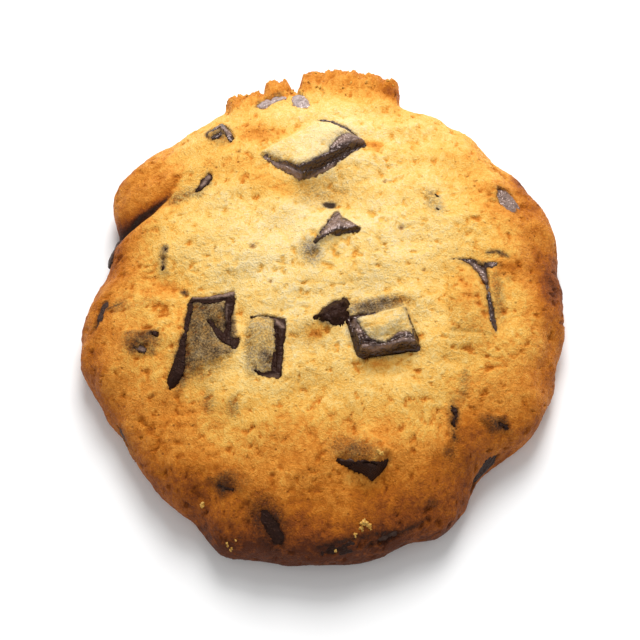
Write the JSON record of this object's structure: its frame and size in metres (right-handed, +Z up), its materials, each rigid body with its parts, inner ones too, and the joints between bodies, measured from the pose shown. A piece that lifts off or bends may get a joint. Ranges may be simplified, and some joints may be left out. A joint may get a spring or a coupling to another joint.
{
  "type": "chocolate chip cookie",
  "caption": "Round domed cookie with chocolate chunks baked into its top and rim, some bare and some under thin caps of dough, with a split lobe and a broken ledge at the back.",
  "frame": {"origin": "on the ground under the middle of the cookie's outline", "axes": "+Z up through the domed top, +X to the picture's right, +Y to its top, away from the viewer"},
  "size_m": [0.0864, 0.0956, 0.019],
  "materials": {
    "crust": "baked crust: pale cream in the middle, gold, then brown at the rim",
    "chocolate": "dark chocolate, softly glossy"
  },
  "bodies": {
    "root": {"dough": "crust", "chunk_chevron": "chocolate", "chunk_peak": "chocolate", "chunk_slab": "chocolate", "chunk_square": "chocolate", "chunk_block": "chocolate", "chunk_blob": "chocolate", "chunk_wedge": "chocolate", "chunk_fold": "chocolate", "chunk_speckled": "chocolate", "chunk_arc": "chocolate", "chunk_oval": "chocolate", "chunk_streak": "chocolate", "chunk_crumbly": "chocolate", "chunk_lens": "chocolate", "chunk_stain": "chocolate", "chunk_slit": "chocolate", "rim_dark_slab": "chocolate", "rim_band_left": "chocolate", "rim_band_right": "chocolate", "rim_notch": "chocolate", "rim_strip": "chocolate", "rim_streak": "chocolate", "rim_low": "chocolate", "rim_shard": "chocolate", "rim_tooth": "chocolate", "rim_nugget": "chocolate"}
  },
  "joints": []
}
